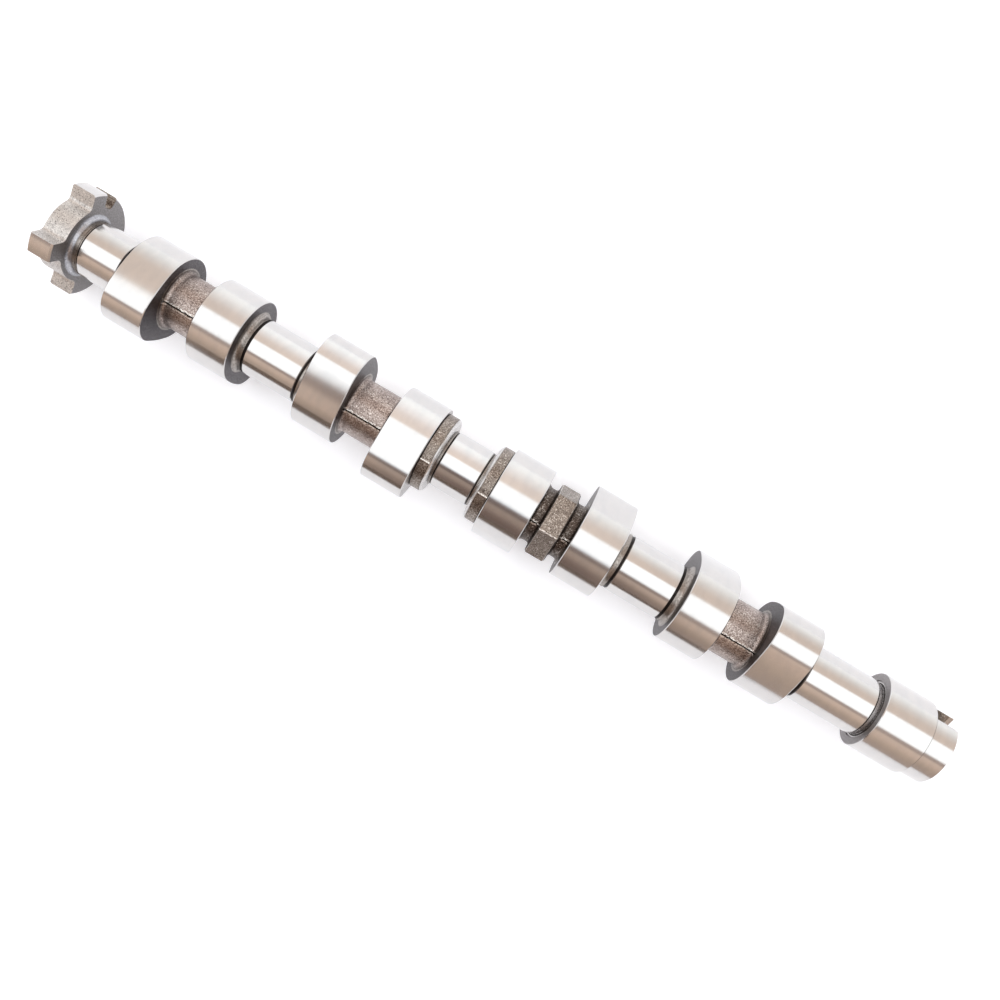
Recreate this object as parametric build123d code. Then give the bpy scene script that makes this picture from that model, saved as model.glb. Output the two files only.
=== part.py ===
from build123d import *
import os
from math import acos, atan2, cos, degrees, radians, sin, sqrt, tan

# Camshaft of a four-cylinder engine, cast as one piece: eight cam lobes, five ground journals,
# a larger end bearing, a nose for the sprocket and a trigger wheel for the position sensor.
# All sizes are in millimetres. The axis of rotation is the X axis, and X is the distance from
# the nose's end face towards the trigger wheel. Z is up as the shaft lies on a level surface.
# Angles are in degrees about the X axis, from +Y towards +Z, counted from the key slot.

# Engine layout
bore_pitch = 90.0
lobe_spread = 38.2
end_lobe_inset = 1.5
firing_order = [1, 3, 4, 2]
first_cylinder_angle = 17.0
lobe_separation = 103.0
lying_angle = 153.0

# Cam lobes
base_radius = 19.5
lobe_lift = 6.2
lobe_nose_radius = 13.3
lobe_flank_radius = 63.0
lobe_width = 19.2
lobe_chamfer = 0.3

# Journals, and the relief between a journal and the lobe beside it
journal_diameter = 26.0
front_journal_width = 30.1
rear_journal_width = 18.1
journal_chamfer = 0.3
relief_width = 4.1
relief_diameter = 25.6
groove_width = 1.1
groove_depth = 0.5
root_fillet = 1.9

# Cast lengths that are left rough
core_diameter = 25.4
core_fillet = 2.2

# Collars on both sides of the middle journal
collar_diameter = 35.2
collar_width = 6.0
collar_bevel_width = 0.6
collar_bevel_drop = 4.2
collar_round = 2.0
collar_groove_width = 1.1

# Hexagon that a spanner holds
hexagon_flats = 29.7
hexagon_width = 8.2
hexagon_corner_radius = 1.2
hexagon_bevel_width = 0.6
hexagon_bevel_drop = 0.8
hexagon_root_fillet = 1.2

# Parting line that the two mould halves leave on the cast lengths
parting_angle = -81.0
flash_width = 0.5
flash_height = 0.3

# Nose end: sprocket seat, key slot, bolt hole and end bearing
nose_diameter = 31.0
nose_length = 10.9
nose_chamfer = 0.3
key_slot_width = 8.0
key_slot_depth = 5.0
key_slot_lead = 2.3
key_slot_flare = 0.6
bolt_hole_diameter = 10.2
bolt_hole_depth = 32.0
bolt_hole_countersink = 13.0
drill_point_angle = 118.0
end_bearing_diameter = 34.4
end_bearing_width = 22.2
end_bearing_chamfer = 0.3
end_groove_width = 2.3
end_groove_diameter = 24.6
end_undercut_diameter = 27.4
end_undercut_depth = 0.5

# Trigger wheel
wheel_diameter = 47.8
wheel_width = 10.9
wheel_hub_diameter = 33.6
wheel_neck_width = 4.5
wheel_rim_chamfer = 0.7
tooth_width = 8.2
second_tooth_angle = -91.0
tooth_root_fillet = 2.8
sector_start_angle = 28.0
sector_sweep = 160.5
notch_bottom_diameter = 36.0
notch_fillet = 1.7
centre_hole_diameter = 8.0
centre_hole_angle = 60.0
centre_pilot_diameter = 3.0
centre_pilot_depth = 4.0

# Stations along the axis
end_bearing_end = nose_length + end_bearing_width
front_journal_start = end_bearing_end + end_groove_width
front_journal_end = front_journal_start + front_journal_width
first_lobe_centre = front_journal_end + relief_width + lobe_width / 2
first_cylinder = first_lobe_centre + lobe_spread / 2 - end_lobe_inset
cylinder_count = len(firing_order)


def cylinder_centre(cylinder):
    return first_cylinder + (cylinder - 1) * bore_pitch


def lobe_centre(cylinder, side):
    """Middle of a cylinder's lobe: side is -1 towards the nose and 1 towards the wheel."""
    offset = side * lobe_spread / 2
    if (cylinder, side) == (1, -1) or (cylinder, side) == (cylinder_count, 1):
        offset -= side * end_lobe_inset
    return cylinder_centre(cylinder) + offset


def lobe_angle(cylinder, side):
    """Direction of a lobe's tip: the cylinders follow each other in firing order."""
    turn = 360 / cylinder_count * firing_order.index(cylinder)
    return first_cylinder_angle - turn + side * lobe_separation / 2


def lobe_start(cylinder, side):
    return lobe_centre(cylinder, side) - lobe_width / 2


def lobe_end(cylinder, side):
    return lobe_centre(cylinder, side) + lobe_width / 2


rear_journal_start = lobe_end(cylinder_count, 1) + relief_width
rear_journal_end = rear_journal_start + rear_journal_width
wheel_start = rear_journal_end + wheel_neck_width
wheel_end = wheel_start + wheel_width


def section_plane(station):
    """Plane across the axis, with its first direction at the key slot's angle."""
    slot = radians(lying_angle)
    return Plane(origin=(station, 0, 0), x_dir=(0, cos(slot), sin(slot)), z_dir=(1, 0, 0))


def polar(radius, angle):
    return (radius * cos(radians(angle)), radius * sin(radians(angle)))


def revolved(*lines):
    """Solid turned about the X axis from joined lines in the XY plane, closed along the axis."""
    start = lines[0] @ 0
    end = lines[-1] @ 1
    corners = [(end.X, 0), (start.X, 0), start]
    if end.Y > 0:
        corners.insert(0, end)
    return revolve(make_face(Curve() + [*lines, Polyline(*corners)]), Axis.X)


def turned(start, end, diameter, chamfer_start=0.0, chamfer_end=0.0):
    """Plain cylinder, with an optional chamfer at each end."""
    radius = diameter / 2
    points = [(start, radius - chamfer_start)]
    if chamfer_start > 0:
        points.append((start + chamfer_start, radius))
    if chamfer_end > 0:
        points.append((end - chamfer_end, radius))
    points.append((end, radius - chamfer_end))
    return revolved(Polyline(*points))


def root(face, direction, diameter, fillet_radius):
    """Concave quarter round from a flat face down to a neck that leaves it along direction."""
    radius = diameter / 2
    inset = fillet_radius * (1 - sqrt(0.5))
    return ThreePointArc(
        (face, radius + fillet_radius),
        (face + direction * inset, radius + inset),
        (face + direction * fillet_radius, radius),
    )


def core(start, end):
    """Rough cast length between two lobe faces, rounded into both."""
    first = root(start, 1, core_diameter, core_fillet)
    last = root(end, -1, core_diameter, core_fillet)
    last_foot = (end - core_fillet, core_diameter / 2)
    last_crown = (end, core_diameter / 2 + core_fillet)
    return revolved(first, Line(first @ 1, last_foot), ThreePointArc(last_foot, last @ 0.5, last_crown))


def relief(face, direction, width):
    """Root round and narrow groove between a face and the journal that it leads to."""
    neck = root(face, direction, relief_diameter, root_fillet)
    groove_radius = journal_diameter / 2 - groove_depth
    journal = face + direction * width
    groove = journal - direction * groove_width
    steps = Polyline(neck @ 1, (groove, relief_diameter / 2), (groove, groove_radius), (journal, groove_radius))
    return revolved(neck, steps)


def collar(lobe_face, direction):
    """Cast collar on a lobe's face, with a round shoulder and a groove towards the middle journal."""
    radius = collar_diameter / 2
    crown = lobe_face + direction * collar_width
    foot = crown + direction * collar_bevel_width
    journal = foot + direction * collar_groove_width
    groove_radius = journal_diameter / 2 - groove_depth
    bevel_foot = (foot, radius - collar_bevel_drop)
    shoulder = FilletPolyline((lobe_face, radius), (crown, radius), bevel_foot, radius=collar_round)
    return revolved(shoulder, Polyline(bevel_foot, (foot, groove_radius), (journal, groove_radius)))


def lobe_outline():
    """Base circle, two flanks and a nose arc, all tangent, with the tip along the first axis."""
    nose_centre = base_radius + lobe_lift - lobe_nose_radius
    flank_reach = lobe_flank_radius - base_radius
    nose_reach = lobe_flank_radius - lobe_nose_radius
    turn = acos((flank_reach ** 2 + nose_centre ** 2 - nose_reach ** 2) / (2 * flank_reach * nose_centre))
    flank_x = flank_reach * cos(turn)
    flank_y = flank_reach * sin(turn)
    base_angle = degrees(atan2(flank_y, -flank_x))
    nose_angle = degrees(atan2(flank_y, nose_centre - flank_x))
    flank_angle = (base_angle + nose_angle) / 2
    tip = (base_radius + lobe_lift, 0)
    nose_x, nose_y = polar(lobe_nose_radius, nose_angle)
    nose_end = (nose_centre + nose_x, nose_y)
    nose_x, nose_y = polar(lobe_nose_radius, nose_angle / 2)
    nose_middle = (nose_centre + nose_x, nose_y)
    flank_end = polar(base_radius, base_angle)
    bulge_x, bulge_y = polar(lobe_flank_radius, flank_angle)
    flank_middle = (flank_x + bulge_x, bulge_y - flank_y)
    half = [
        ThreePointArc(tip, nose_middle, nose_end),
        ThreePointArc(nose_end, flank_middle, flank_end),
        ThreePointArc(flank_end, polar(base_radius, (base_angle + 180) / 2), (-base_radius, 0)),
    ]
    other_half = [mirror(edge, about=Plane.XZ) for edge in half]
    return make_face(Curve() + half + other_half)


def lobe(cylinder, side):
    outline = section_plane(lobe_start(cylinder, side)) * Rot(0, 0, lobe_angle(cylinder, side)) * lobe_outline()
    solid = extrude(outline, lobe_width)
    rims = solid.edges().filter_by(GeomType.CIRCLE)
    return chamfer(rims, lobe_chamfer)


def hexagon_face(station, drop):
    """Hexagon with rounded corners, one corner on the parting line, sunk by drop all round."""
    flats = hexagon_flats - 2 * drop
    outline = RegularPolygon(flats / 2, 6, major_radius=False, rotation=parting_angle)
    outline = fillet(outline.vertices(), hexagon_corner_radius)
    return section_plane(station) * outline


def hexagon(centre):
    """Spanner hexagon with bevelled sides that are rounded into the core."""
    start = centre - hexagon_width / 2
    end = centre + hexagon_width / 2
    stations = [start - hexagon_bevel_width, start, end, end + hexagon_bevel_width]
    drops = [hexagon_bevel_drop, 0, 0, hexagon_bevel_drop]
    faces = [hexagon_face(station, drop) for station, drop in zip(stations, drops)]
    solid = loft(faces, ruled=True)
    for face, direction in ((stations[0], -1), (stations[-1], 1)):
        solid += revolved(root(face, direction, core_diameter, hexagon_root_fillet))
    return solid


def flash(start, end, radius):
    """Two thin fins along the parting line, on opposite sides of a cast length."""
    span = 2 * (radius + flash_height)
    fin = section_plane(start) * Rot(0, 0, parting_angle) * Rectangle(span, flash_width)
    return extrude(fin, end - start)


def wheel_outline():
    """Two narrow teeth and one long sector around a hub, with rounded roots."""
    hub_radius = wheel_hub_diameter / 2
    notch_radius = notch_bottom_diameter / 2
    rim = Circle(wheel_diameter / 2)
    tooth = Pos(wheel_diameter / 2, 0) * Rectangle(wheel_diameter, tooth_width)
    second_tooth = Rot(0, 0, second_tooth_angle) * tooth
    sector = pie(wheel_diameter, sector_start_angle, sector_sweep)
    notch_floor = pie(notch_radius, 0, sector_start_angle)
    outline = (Circle(hub_radius) + tooth + second_tooth + sector + notch_floor) & rim
    outline = fillet(corners_at(outline, hub_radius), tooth_root_fillet)
    return fillet(corners_at(outline, notch_radius), notch_fillet)


def pie(radius, start_angle, sweep):
    """Sector of a disc, from its start angle over its sweep."""
    first = polar(radius, start_angle)
    middle = polar(radius, start_angle + sweep / 2)
    last = polar(radius, start_angle + sweep)
    arc = ThreePointArc(first, middle, last)
    return make_face(Curve() + [Line((0, 0), first), arc, Line(last, (0, 0))])


def corners_at(outline, radius):
    """Corners of an outline that lie on a circle about the axis."""
    return [corner for corner in outline.vertices() if abs(Vector(corner).length - radius) < 0.01]


def trigger_wheel():
    """Trigger wheel with chamfered rims, on a neck that is rounded into its inner face."""
    teeth = extrude(section_plane(wheel_start) * wheel_outline(), wheel_width)
    rim = turned(wheel_start, wheel_end, wheel_diameter, wheel_rim_chamfer, wheel_rim_chamfer)
    return (teeth & rim) + relief(wheel_start, -1, wheel_neck_width)


def key_slot():
    """Slot across the nose's end that takes the sprocket's key, flared at the end face."""
    centre = Pos(nose_diameter - key_slot_depth, 0)
    slot = section_plane(0) * centre * Rectangle(nose_diameter, key_slot_width)
    mouth = section_plane(0) * centre * Rectangle(nose_diameter, key_slot_width + 2 * key_slot_flare)
    throat = section_plane(key_slot_lead) * centre * Rectangle(nose_diameter, key_slot_width)
    return extrude(slot, nose_length) + loft([mouth, throat], ruled=True)


def bolt_hole():
    """Blind hole for the sprocket bolt, with a countersunk mouth and a drilled point."""
    radius = bolt_hole_diameter / 2
    mouth = bolt_hole_countersink / 2
    point = bolt_hole_depth + radius / tan(radians(drill_point_angle / 2))
    return revolved(Polyline((0, mouth), (mouth - radius, radius), (bolt_hole_depth, radius), (point, 0)))


def centre_hole():
    """Conical centre in the wheel's outer face, on which the shaft turned while it was ground."""
    mouth = centre_hole_diameter / 2
    pilot = centre_pilot_diameter / 2
    cone_end = wheel_end - (mouth - pilot) / tan(radians(centre_hole_angle / 2))
    return revolved(Polyline((cone_end - centre_pilot_depth, pilot), (cone_end, pilot), (wheel_end, mouth)))


def nose():
    """Sprocket seat, end bearing and the groove behind it, which undercuts the bearing's face."""
    seat = turned(0, nose_length, nose_diameter, nose_chamfer)
    chamfers = (end_bearing_chamfer, end_bearing_chamfer)
    bearing = turned(nose_length, end_bearing_end, end_bearing_diameter, *chamfers)
    undercut_start = end_bearing_end - end_undercut_depth
    undercut = turned(undercut_start, end_bearing_end, end_undercut_diameter)
    groove = turned(undercut_start, front_journal_start, end_groove_diameter)
    return seat + (bearing - undercut) + groove


def journal(start, end):
    return turned(start, end, journal_diameter, journal_chamfer, journal_chamfer)


def journals():
    """Five journals with the reliefs and collars beside them."""
    solid = journal(front_journal_start, front_journal_end)
    solid += relief(lobe_start(1, -1), -1, relief_width)
    solid += journal(rear_journal_start, rear_journal_end)
    solid += relief(lobe_end(cylinder_count, 1), 1, relief_width)
    for cylinder in range(1, cylinder_count):
        before = lobe_end(cylinder, 1)
        after = lobe_start(cylinder + 1, -1)
        if cylinder == cylinder_count / 2:
            shoulder = collar_width + collar_bevel_width + collar_groove_width
            solid += collar(before, 1) + collar(after, -1)
            solid += flash(before, before + collar_width, collar_diameter / 2)
            solid += flash(after - collar_width, after, collar_diameter / 2)
        else:
            shoulder = relief_width
            solid += relief(before, 1, relief_width) + relief(after, -1, relief_width)
        solid += journal(before + shoulder, after - shoulder)
    return solid


def camshaft():
    solid = nose() + journals() + trigger_wheel()
    for cylinder in range(1, cylinder_count + 1):
        start = lobe_end(cylinder, -1)
        end = lobe_start(cylinder, 1)
        solid += core(start, end) + flash(start, end, core_diameter / 2)
        solid += lobe(cylinder, -1) + lobe(cylinder, 1)
    centre = cylinder_centre(cylinder_count // 2)
    solid += hexagon(centre)
    solid += flash(centre - hexagon_width / 2, centre + hexagon_width / 2, hexagon_flats / 2 / cos(radians(30)))
    return solid - key_slot() - bolt_hole() - centre_hole()


os.makedirs("parts", exist_ok=True)
export_step(camshaft(), "parts/camshaft.step")
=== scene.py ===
import bmesh
import bpy
from math import acos, atan2, cos, degrees, hypot, pi, radians, sin, sqrt, tan
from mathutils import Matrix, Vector, noise


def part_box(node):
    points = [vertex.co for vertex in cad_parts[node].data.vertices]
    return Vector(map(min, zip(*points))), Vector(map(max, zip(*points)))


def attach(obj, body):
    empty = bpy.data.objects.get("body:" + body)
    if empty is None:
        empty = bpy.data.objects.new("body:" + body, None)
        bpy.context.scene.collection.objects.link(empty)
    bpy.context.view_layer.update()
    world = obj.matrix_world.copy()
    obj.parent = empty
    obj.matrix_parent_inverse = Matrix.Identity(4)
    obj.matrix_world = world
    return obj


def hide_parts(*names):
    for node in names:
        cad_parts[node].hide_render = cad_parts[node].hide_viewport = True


# Looks of a cast camshaft with ground lobes and journals, lying on a white floor.
# Sizes are in millimetres, as in the model's source; MM turns them into Blender's metres.
# X runs along the axis from the nose to the trigger wheel, Z is up, and angles are in degrees
# about the axis, from +Y towards +Z, counted from the key slot at LYING_ANGLE.

MM = 0.001

# Fineness of the meshes
TURNED_SEGMENTS = 256
HOLE_SEGMENTS = 96
CAST_SEGMENTS = 720
GRAIN_STEP = 0.3
ROUND_STEPS = 10
COLLAR_ROUND_STEPS = 12
BEVEL_STEPS = 3
WALL_ROOT_STEPS = 8
RIM_STEP_ANGLE = 1.5
SHARP_ANGLE = 25.0
CAST_SHARP_ANGLE = 60.0

# Engine layout
BORE_PITCH = 90.0
LOBE_SPREAD = 38.2
END_LOBE_INSET = 1.5
FIRING_ORDER = [1, 3, 4, 2]
FIRST_CYLINDER_ANGLE = 17.0
LOBE_SEPARATION = 103.0
LYING_ANGLE = 153.0

# Lobes
BASE_RADIUS = 19.5
LOBE_LIFT = 6.2
LOBE_NOSE_RADIUS = 13.3
LOBE_FLANK_RADIUS = 63.0
LOBE_WIDTH = 19.2
LOBE_CHAMFER = 0.3
LOBE_FACE_INSET = 3.0

# Journals and reliefs
JOURNAL_RADIUS = 13.0
FRONT_JOURNAL_WIDTH = 30.1
REAR_JOURNAL_WIDTH = 18.1
JOURNAL_CHAMFER = 0.3
RELIEF_WIDTH = 4.1
RELIEF_RADIUS = 12.8
GROOVE_WIDTH = 1.1
GROOVE_RADIUS = 12.5
ROOT_FILLET = 1.9

# Cast lengths, collars, hexagon and parting line
CORE_RADIUS = 12.7
CORE_FILLET = 2.2
COLLAR_RADIUS = 17.6
COLLAR_WIDTH = 6.0
COLLAR_BEVEL_WIDTH = 0.6
COLLAR_BEVEL_DROP = 4.2
COLLAR_ROUND = 2.0
COLLAR_GROOVE_WIDTH = 1.1
COLLAR_ROUGH_WIDTH = 4.8
HEXAGON_FLATS = 29.7
HEXAGON_WIDTH = 8.2
HEXAGON_CORNER_RADIUS = 1.2
HEXAGON_BEVEL_WIDTH = 0.6
HEXAGON_BEVEL_DROP = 0.8
HEXAGON_ROOT_FILLET = 1.2
PARTING_ANGLE = -81.0
COLLAR_SEAM_WIDTH = 0.4
COLLAR_SEAM_DEPTH = 0.3
TURNED_STEPS = 2

# Cast skin: waves and sand grain, counted along a millimetre, and the flash that is broken off
# the parting line. Where the seam is open, a thin line of painted shadow runs along it, with bright crumbs on
# both sides.
WAVES_PER_MM = 0.12
WAVE_HEIGHT = 0.10
GRAINS_PER_MM = 1.1
GRAIN_HEIGHT = 0.04
FLASH_WIDTH = 0.5
FLASH_HEIGHT = 0.3
FLASH_BREAKS_PER_MM = 0.7
FLASH_REMAINS = 0.75
FETTLED_WIDTH = 0.225
SEAM_WIDTH = 0.6
SEAM_WANDER = 0.25
SEAM_BENDS_PER_MM = 0.6
CRUMB_WIDTH = 1.1
CRUMBS_PER_MM = 1.3
CRUMBS_PER_DEGREE = 0.4
CRUMB_LEVEL = -0.1

# Nose end
NOSE_RADIUS = 15.5
NOSE_LENGTH = 10.9
NOSE_CHAMFER = 0.3
KEY_SLOT_WIDTH = 8.0
KEY_SLOT_DEPTH = 5.0
KEY_SLOT_LEAD = 2.3
KEY_SLOT_FLARE = 0.6
BOLT_HOLE_RADIUS = 5.1
BOLT_HOLE_DEPTH = 32.0
DRILL_POINT_DEPTH = 3.0
DRILL_TIP_RADIUS = 0.05
BOLT_HOLE_MOUTH_RADIUS = 6.5
END_BEARING_RADIUS = 17.2
END_BEARING_WIDTH = 22.2
END_BEARING_CHAMFER = 0.3
END_GROOVE_WIDTH = 2.3
END_GROOVE_RADIUS = 12.3
END_UNDERCUT_RADIUS = 13.7
END_UNDERCUT_DEPTH = 0.5

# Trigger wheel
WHEEL_RADIUS = 23.9
WHEEL_WIDTH = 10.9
WHEEL_HUB_RADIUS = 16.8
WHEEL_NECK_WIDTH = 4.5
WHEEL_RIM_CHAMFER = 0.7
TOOTH_WIDTH = 8.2
SECOND_TOOTH_ANGLE = -91.0
TOOTH_ROOT_FILLET = 2.8
SECTOR_START_ANGLE = 28.0
SECTOR_SWEEP = 160.5
NOTCH_RADIUS = 18.0
NOTCH_FILLET = 1.7
CENTRE_HOLE_RADIUS = 4.0
CENTRE_PILOT_RADIUS = 1.5
CENTRE_PILOT_DEPTH = 4.0
CENTRE_CONE_ANGLE = 60.0

# How far a cutter reaches outside the surface that it cuts: a drill, and the key slot's cutter
# before the end face and above the nose
CUT_CLEARANCE = 0.1
SLOT_CUT_LEAD = 1.0
SLOT_CUT_TOP = 2.0

# Stations along the axis
END_BEARING_END = NOSE_LENGTH + END_BEARING_WIDTH
FRONT_JOURNAL_START = END_BEARING_END + END_GROOVE_WIDTH
FRONT_JOURNAL_END = FRONT_JOURNAL_START + FRONT_JOURNAL_WIDTH
FIRST_CYLINDER = FRONT_JOURNAL_END + RELIEF_WIDTH + LOBE_WIDTH / 2 + LOBE_SPREAD / 2 - END_LOBE_INSET
CYLINDER_COUNT = len(FIRING_ORDER)
MIDDLE_CYLINDER = CYLINDER_COUNT // 2
HEXAGON_CYLINDER = 2


def lobe_centre(cylinder, side):
    """Middle of a cylinder's lobe: side is -1 towards the nose and 1 towards the wheel."""
    offset = side * LOBE_SPREAD / 2
    if (cylinder, side) == (1, -1) or (cylinder, side) == (CYLINDER_COUNT, 1):
        offset -= side * END_LOBE_INSET
    return cylinder_centre(cylinder) + offset


def cylinder_centre(cylinder):
    return FIRST_CYLINDER + (cylinder - 1) * BORE_PITCH


def lobe_angle(cylinder, side):
    turn = 360 / CYLINDER_COUNT * FIRING_ORDER.index(cylinder)
    return FIRST_CYLINDER_ANGLE - turn + side * LOBE_SEPARATION / 2


def lobe_start(cylinder, side):
    return lobe_centre(cylinder, side) - LOBE_WIDTH / 2


def lobe_end(cylinder, side):
    return lobe_centre(cylinder, side) + LOBE_WIDTH / 2


REAR_JOURNAL_START = lobe_end(CYLINDER_COUNT, 1) + RELIEF_WIDTH
REAR_JOURNAL_END = REAR_JOURNAL_START + REAR_JOURNAL_WIDTH
WHEEL_START = REAR_JOURNAL_END + WHEEL_NECK_WIDTH
WHEEL_END = WHEEL_START + WHEEL_WIDTH


# ---------------------------------------------------------------- materials

# Sizes of the patterns along X, Y and Z and their heights, in millimetres. Marks of the grinding
# wheel and the lathe tool are drawn coarse enough to show.
GRIT_LINES = (0.4, 33.0, 33.0)
GRIT_HEIGHT = 0.001
CHATTER_MARKS = (33.0, 0.8, 0.8)
CHATTER_HEIGHT = 0.0012
SMEARS = (3.5, 8.0, 8.0)
LATHE_RINGS = (0.4, 25.0, 25.0)
MOTTLE = (0.6, 0.6, 0.6)
SAND_GRAIN = (0.5, 0.5, 0.5)
FACETS = (0.4, 0.4, 0.4)
PATCHES = (5.0, 5.0, 5.0)
PATCH_CONTRAST = 0.2

PIT_COLOUR = "3A322E"
FACET_COLOUR = "E2DED8"

# Painted shade in a core's rounds into the lobe faces: where it starts inside the skin, up to
# which share of the round's height it grows, and how much of the skin's own colour it then hides
ROUND_SHADE_COLOUR = "4A4440"
ROUND_SHADE_START = 0.1
ROUND_SHADE_SHARE = 0.6
ROUND_SHADE_STRENGTH = 0.8

# Noise stays mostly within this span, which is spread over a pattern's whole range
NOISE_SPAN = {"From Min": 0.3, "From Max": 0.7}


def colour(code):
    """Linear colour from an sRGB hex code."""
    channels = [int(code[i:i + 2], 16) / 255 for i in (0, 2, 4)]
    return [c / 12.92 if c <= 0.04045 else ((c + 0.055) / 1.055) ** 2.4 for c in channels] + [1.0]


def add_node(tree, kind, output, inputs, stops=(), **settings):
    """Adds a node, sets it up and returns one of its outputs. An output given among the inputs
    is linked. Stops are the places and hex colours of a colour ramp."""
    node = tree.nodes.new("ShaderNode" + kind)
    for name, value in settings.items():
        setattr(node, name, value)
    for name, value in inputs.items():
        if isinstance(value, bpy.types.NodeSocket):
            tree.links.new(value, node.inputs[name])
        else:
            node.inputs[name].default_value = value
    if stops:
        elements = node.color_ramp.elements
        while len(elements) < len(stops):
            elements.new(0.5)
        for element, (place, code) in zip(elements, stops):
            element.position = place
            element.color = colour(code)
    return node.outputs[output] if output is not None else None


def new_material(name):
    material = bpy.data.materials.new(name)
    material.use_nodes = True
    material.node_tree.nodes.clear()
    return material, material.node_tree


def finish_material(tree, inputs):
    shader = add_node(tree, "BsdfPrincipled", "BSDF", inputs)
    add_node(tree, "OutputMaterial", None, {"Surface": shader})


def grain_pattern(tree, size, detail):
    """Noise that follows the piece, with grains of this size along X, Y and Z in millimetres."""
    place = add_node(tree, "TexCoord", "Object", {})
    place = add_node(tree, "Mapping", "Vector", {"Vector": place, "Scale": [1 / (s * MM) for s in size]})
    inputs = {"Vector": place, "Scale": 1.0, "Detail": detail, "Roughness": 0.6}
    return add_node(tree, "TexNoise", "Fac", inputs)


def two_bumps(tree, coarse, coarse_height, fine, fine_height):
    """Normal of a surface with two patterns on it, whose heights are in millimetres."""
    normal = add_node(tree, "Bump", "Normal", {"Height": fine, "Distance": fine_height * MM, "Strength": 1.0})
    inputs = {"Height": coarse, "Distance": coarse_height * MM, "Strength": 1.0, "Normal": normal}
    return add_node(tree, "Bump", "Normal", inputs)


def ground_iron(name, dark, light, roughness):
    """Hardened cast iron, cylindrically ground bright: lines of the wheel's grit run round the
    shaft, with faint chatter marks along it and soft smears in its shine."""
    material, tree = new_material(name)
    lines = grain_pattern(tree, GRIT_LINES, 3.0)
    chatter = grain_pattern(tree, CHATTER_MARKS, 2.0)
    smears = grain_pattern(tree, SMEARS, 4.0)
    shine = {"To Min": roughness * 1.04, "To Max": roughness * 0.97}
    finish_material(tree, {
        "Base Color": add_node(tree, "ValToRGB", "Color", {"Fac": smears}, [(0.35, dark), (0.6, light)]),
        "Metallic": 1.0,
        "Roughness": add_node(tree, "MapRange", "Result", {"Value": smears, **NOISE_SPAN, **shine}),
        "Anisotropic": 0.5,
        "Anisotropic Rotation": 0.25,
        "Tangent": add_node(tree, "Tangent", "Tangent", {}, direction_type="RADIAL", axis="X"),
        "Normal": two_bumps(tree, chatter, CHATTER_HEIGHT, lines, GRIT_HEIGHT),
    })
    return material


def turned_iron(name, dark, light, roughness, ring_height):
    """Cast iron turned in the lathe: dull, with fine rings round the shaft and a mottled tone."""
    material, tree = new_material(name)
    rings = grain_pattern(tree, LATHE_RINGS, 3.0)
    mottle = grain_pattern(tree, MOTTLE, 3.0)
    shine = {"To Min": roughness * 1.15, "To Max": roughness * 0.85}
    finish_material(tree, {
        "Base Color": add_node(tree, "ValToRGB", "Color", {"Fac": mottle}, [(0.36, dark), (0.64, light)]),
        "Metallic": 1.0,
        "Roughness": add_node(tree, "MapRange", "Result", {"Value": mottle, **NOISE_SPAN, **shine}),
        "Normal": two_bumps(tree, mottle, ring_height * 2, rings, ring_height),
    })
    return material


def painted_round_shade(tree, skin):
    """Skin colour darkened up the rounds by painted shade, where a core meets a lobe's face."""
    place = add_node(tree, "TexCoord", "Object", {})
    section = add_node(tree, "VectorMath", 0, {0: place, 1: (0, 1, 1)}, operation="MULTIPLY")
    radius = add_node(tree, "VectorMath", "Value", {0: section}, operation="LENGTH")
    share = add_node(tree, "MapRange", "Result", {
        "Value": radius,
        "From Min": (CORE_RADIUS - ROUND_SHADE_START) * MM,
        "From Max": (CORE_RADIUS + ROUND_SHADE_SHARE * CORE_FILLET) * MM,
        "To Max": ROUND_SHADE_STRENGTH,
    }, interpolation_type="SMOOTHSTEP")
    return add_node(tree, "Mix", 2, {"Factor": share, 6: skin, 7: colour(ROUND_SHADE_COLOUR)}, data_type="RGBA")


def cast_iron(name, dark, light, roughness, grain_height, shaded_rounds=False):
    """Sand-cast grey iron, shot-blasted: fine grain with dark pits and small bright facets, in
    patches that are a little darker or lighter."""
    material, tree = new_material(name)
    grain = grain_pattern(tree, SAND_GRAIN, 3.0)
    facets = grain_pattern(tree, FACETS, 1.0)
    patches = grain_pattern(tree, PATCHES, 2.0)
    spread = {0: patches, 1: PATCH_CONTRAST, 2: -PATCH_CONTRAST / 2}
    patches = add_node(tree, "Math", 0, spread, operation="MULTIPLY_ADD")
    tone = add_node(tree, "Math", 0, {0: patches, 1: grain}, operation="ADD")
    stops = [(0.30, PIT_COLOUR), (0.40, dark), (0.60, light), (0.70, FACET_COLOUR)]
    skin = add_node(tree, "ValToRGB", "Color", {"Fac": tone}, stops)
    shine = {"To Min": roughness * 1.2, "To Max": roughness * 0.8}
    finish_material(tree, {
        # With shaded_rounds, painted shade darkens the skin up the rounds into the lobe faces.
        "Base Color": painted_round_shade(tree, skin) if shaded_rounds else skin,
        "Metallic": 1.0,
        "Roughness": add_node(tree, "MapRange", "Result", {"Value": facets, **NOISE_SPAN, **shine}),
        "Normal": two_bumps(tree, facets, grain_height * 0.5, grain, grain_height),
    })
    return material


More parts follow.
